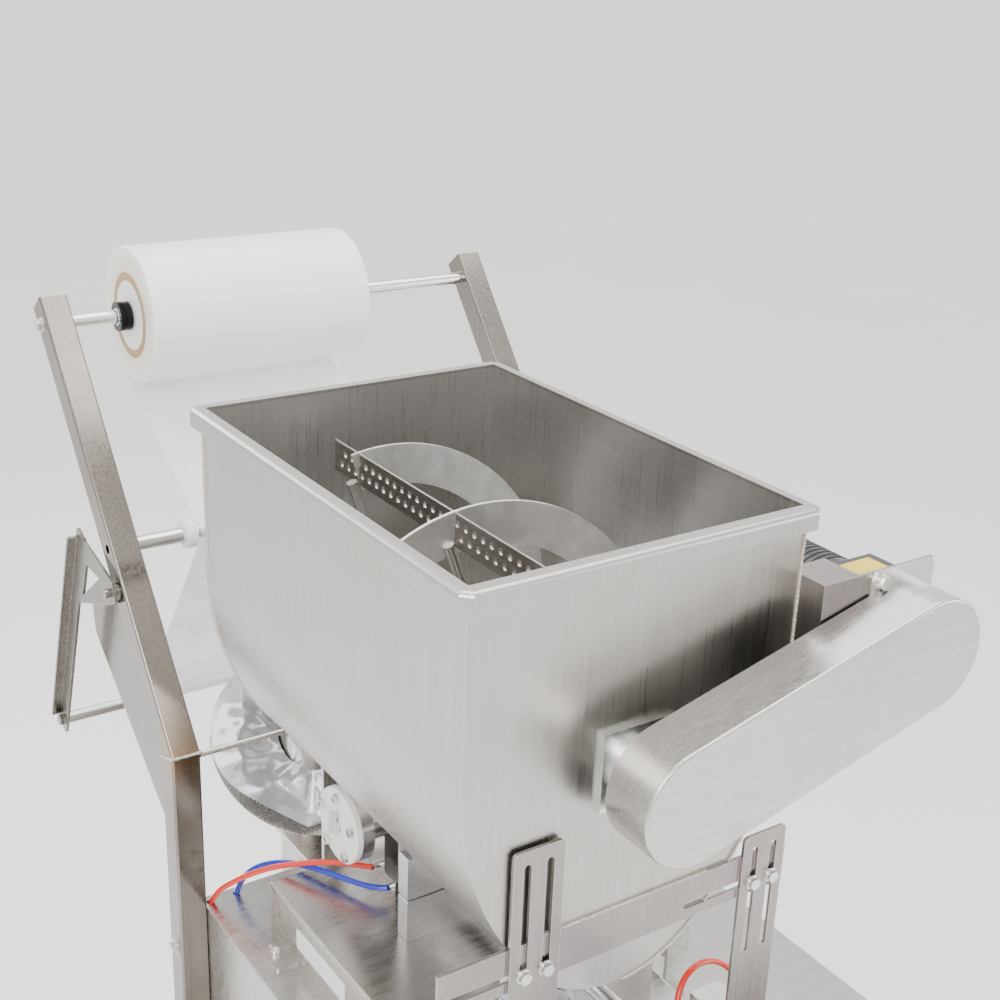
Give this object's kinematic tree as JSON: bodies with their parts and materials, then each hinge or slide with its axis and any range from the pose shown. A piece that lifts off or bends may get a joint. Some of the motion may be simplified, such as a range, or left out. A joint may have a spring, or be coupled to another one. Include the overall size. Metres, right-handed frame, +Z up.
{
  "type": "vertical form fill sealer",
  "caption": "Vertical form fill sealer with a stirred trough hopper, piston pump, film reel stand, dancer, forming collar and sealing jaws.",
  "frame": {"origin": "on the floor, under the middle of the whole machine", "axes": "+X along the film axles, +Y from the service side to the bag-making side, +Z up"},
  "size_m": [0.5838, 1.012, 1.578],
  "materials": {
    "brushed_steel": "brushed stainless",
    "polished_tube": "polished stainless tube",
    "cut_plate": "laser-cut stainless plate",
    "folded_panel": "folded stainless sheet",
    "round_bar": "ground stainless bar",
    "dark_angle": "dark polished stainless angle",
    "satin_aluminium": "milled satin aluminium",
    "zinc_screw": "bright zinc",
    "white_flange": "white turned plastic",
    "black_motor": "black housing",
    "red_tube": "glossy orange-red air hose",
    "blue_tube": "glossy blue air hose",
    "film": "translucent wound film",
    "film_web": "clear plastic film",
    "card_core": "wound board core",
    "knife_steel": "ground blade",
    "grip_rubber": "soft drive rubber",
    "control_box_paint": "light grey powder coat",
    "start_green": "green button",
    "stop_red": "red mushroom button"
  },
  "bodies": {
    "machine": {"air_unit": "zinc_screw", "base_frame": "polished_tube", "blue_hose": "blue_tube", "control_box": "control_box_paint", "control_unit": "black_motor", "deck_plate": "folded_panel", "discharge_chute": "brushed_steel", "discharge_pipe": "brushed_steel", "drive_chain": "zinc_screw", "drive_cylinder": "satin_aluminium", "drive_guard": "brushed_steel", "fasteners": "zinc_screw", "film_web_lower": "film_web", "film_web_upper": "film_web", "forming_collar": "brushed_steel", "forming_tube": "brushed_steel", "front_hose": "red_tube", "gearmotor": "black_motor", "hopper": "brushed_steel", "hopper_supports": "cut_plate", "levelling_feet": "zinc_screw", "mechanism_plate": "cut_plate", "motor_bracket": "cut_plate", "pump_clamps": "satin_aluminium", "pump_cylinder": "brushed_steel", "raised_box": "folded_panel", "red_hose": "red_tube", "reel_axle": "round_bar", "reel_posts": "polished_tube", "seal_frame": "brushed_steel", "shaft_bearings": "zinc_screw", "side_panels": "folded_panel", "touch_screen": "black_motor", "valve_actuator": "black_motor", "valve_body": "brushed_steel", "valve_flange": "white_flange"},
    "service_door": {"service_door": "folded_panel"},
    "latch": {"door_latch": "zinc_screw"},
    "agitator": {"agitator_shaft": "brushed_steel", "ribbon_flight": "brushed_steel", "scraper_strip": "cut_plate"},
    "motor_output": {"motor_sprocket": "zinc_screw"},
    "pump_rod": {"pump_piston": "brushed_steel"},
    "valve_core": {"valve_rotor": "brushed_steel"},
    "film_reel": {"film_core": "card_core", "film_roll": "film", "core_plugs": "white_flange"},
    "guide": {"guide_roller": "round_bar", "roller_collars": "white_flange"},
    "dancer": {"dancer_levers": "dark_angle"},
    "dancer_bar": {"dancer_roller": "round_bar"},
    "long_sealer": {"vertical_seal_bar": "satin_aluminium"},
    "right_puller": {"pull_roller_right": "grip_rubber"},
    "left_puller": {"pull_roller_left": "grip_rubber"},
    "back_jaw": {"rear_jaw": "satin_aluminium"},
    "outer_jaw": {"front_jaw": "satin_aluminium"},
    "cutter": {"knife": "knife_steel"},
    "start": {"start_button": "start_green"},
    "stop": {"stop_button": "stop_red"},
    "power_switch": {"main_switch": "black_motor"}
  },
  "joints": [
    {"name": "door_swing", "type": "hinge", "parent": "machine", "child": "service_door", "pos_m": [-0.2435, -0.487, 0.5], "axis": [0, 0, -1], "range_deg": [0, 110]},
    {"name": "latch_turn", "type": "hinge", "parent": "service_door", "child": "latch", "pos_m": [0.2025, -0.482, 0.5], "axis": [0, 1, 0], "range_deg": [0, 90]},
    {"name": "agitator_spin", "type": "hinge", "parent": "machine", "child": "agitator", "pos_m": [-0.0845, -0.131, 1.323], "axis": [0, 1, 0], "continuous": true},
    {"name": "motor_spin", "type": "hinge", "parent": "machine", "child": "motor_output", "pos_m": [0.1585, -0.38, 1.384], "axis": [0, 1, 0], "continuous": true},
    {"name": "pump_stroke", "type": "slide", "parent": "machine", "child": "pump_rod", "axis": [0, 1, 0], "range_m": [0, 0.035]},
    {"name": "valve_turn", "type": "hinge", "parent": "machine", "child": "valve_core", "pos_m": [-0.0845, -0.006, 1.092], "axis": [1, 0, 0], "range_deg": [0, 90]},
    {"name": "reel_spin", "type": "hinge", "parent": "machine", "child": "film_reel", "pos_m": [-0.0505, 0.431, 1.503], "axis": [1, 0, 0], "continuous": true},
    {"name": "guide_spin", "type": "hinge", "parent": "machine", "child": "guide", "pos_m": [-0.0505, 0.269, 1.306], "axis": [1, 0, 0], "continuous": true},
    {"name": "dancer_swing", "type": "hinge", "parent": "machine", "child": "dancer", "pos_m": [0, 0.251, 1.266], "axis": [1, 0, 0], "range_deg": [0, 25], "deforming": ["film_web_lower"]},
    {"name": "dancer_bar_spin", "type": "hinge", "parent": "dancer", "child": "dancer_bar", "pos_m": [0, 0.446, 1.024], "axis": [1, 0, 0], "continuous": true},
    {"name": "sealer_press", "type": "slide", "parent": "machine", "child": "long_sealer", "axis": [0, 1, 0], "range_m": [0, 0.003]},
    {"name": "pull_right_spin", "type": "hinge", "parent": "machine", "child": "right_puller", "pos_m": [0.015, 0.265, 0.62], "axis": [0, 1, 0], "continuous": true},
    {"name": "pull_left_spin", "type": "hinge", "parent": "machine", "child": "left_puller", "pos_m": [-0.116, 0.265, 0.62], "axis": [0, 1, 0], "continuous": true},
    {"name": "rear_jaw_close", "type": "slide", "parent": "machine", "child": "back_jaw", "axis": [0, 1, 0], "range_m": [0, 0.019]},
    {"name": "front_jaw_close", "type": "slide", "parent": "machine", "child": "outer_jaw", "axis": [0, -1, 0], "range_m": [0, 0.019]},
    {"name": "knife_cut", "type": "slide", "parent": "back_jaw", "child": "cutter", "axis": [0, 1, 0], "range_m": [0, 0.012]},
    {"name": "start_press", "type": "slide", "parent": "machine", "child": "start", "axis": [0, -1, 0], "range_m": [0, 0.004], "stiffness_N_per_m": 400},
    {"name": "stop_press", "type": "slide", "parent": "machine", "child": "stop", "axis": [0, -1, 0], "range_m": [0, 0.004], "stiffness_N_per_m": 600},
    {"name": "switch_turn", "type": "hinge", "parent": "machine", "child": "power_switch", "pos_m": [0.165, 0.262, 0.705], "axis": [0, 1, 0], "range_deg": [0, 90]}
  ],
  "couplings": [
    {"joint": "motor_spin", "follows": "agitator_spin", "ratio": 1},
    {"joint": "pull_left_spin", "follows": "pull_right_spin", "ratio": -1},
    {"joint": "front_jaw_close", "follows": "rear_jaw_close", "ratio": 1}
  ]
}
